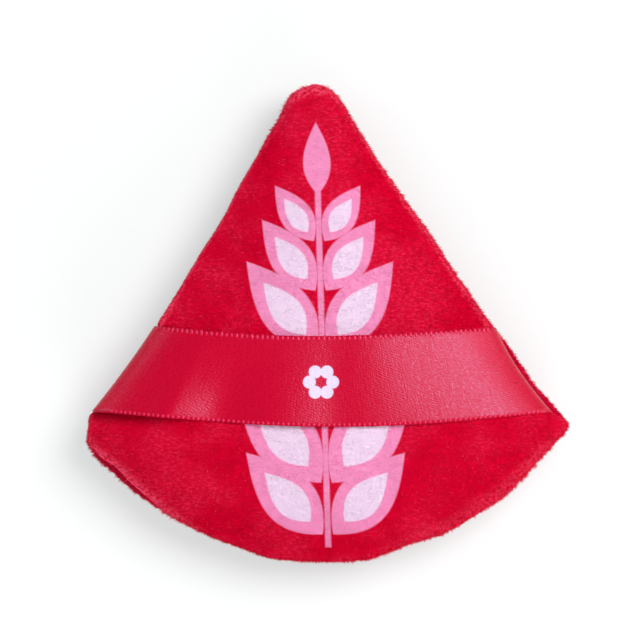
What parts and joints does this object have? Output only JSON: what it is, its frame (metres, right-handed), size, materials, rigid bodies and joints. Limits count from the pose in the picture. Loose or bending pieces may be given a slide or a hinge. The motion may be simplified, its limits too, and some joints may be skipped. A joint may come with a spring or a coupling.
{
  "type": "powder puff",
  "caption": "Fan-shaped velour powder puff, stuffed with sponge, with a satin ribbon across its front that holds the fingers.",
  "frame": {"origin": "middle of the puff's width and height, at the level of the face that it rests on", "axes": "+Y towards the tip, +X to the right as seen from the front, +Z from the back towards the front with the ribbon"},
  "size_m": [0.084, 0.0829, 0.0176],
  "materials": {
    "velour": "matte",
    "sponge": "matte",
    "satin": "satin",
    "thread": "matte"
  },
  "bodies": {
    "root": {"front_panel": "velour", "back_panel": "velour", "foam_core": "sponge", "ribbon": "satin", "seam_needle_thread": "thread", "seam_bobbin_thread": "thread", "closing_thread": "thread"}
  },
  "joints": []
}
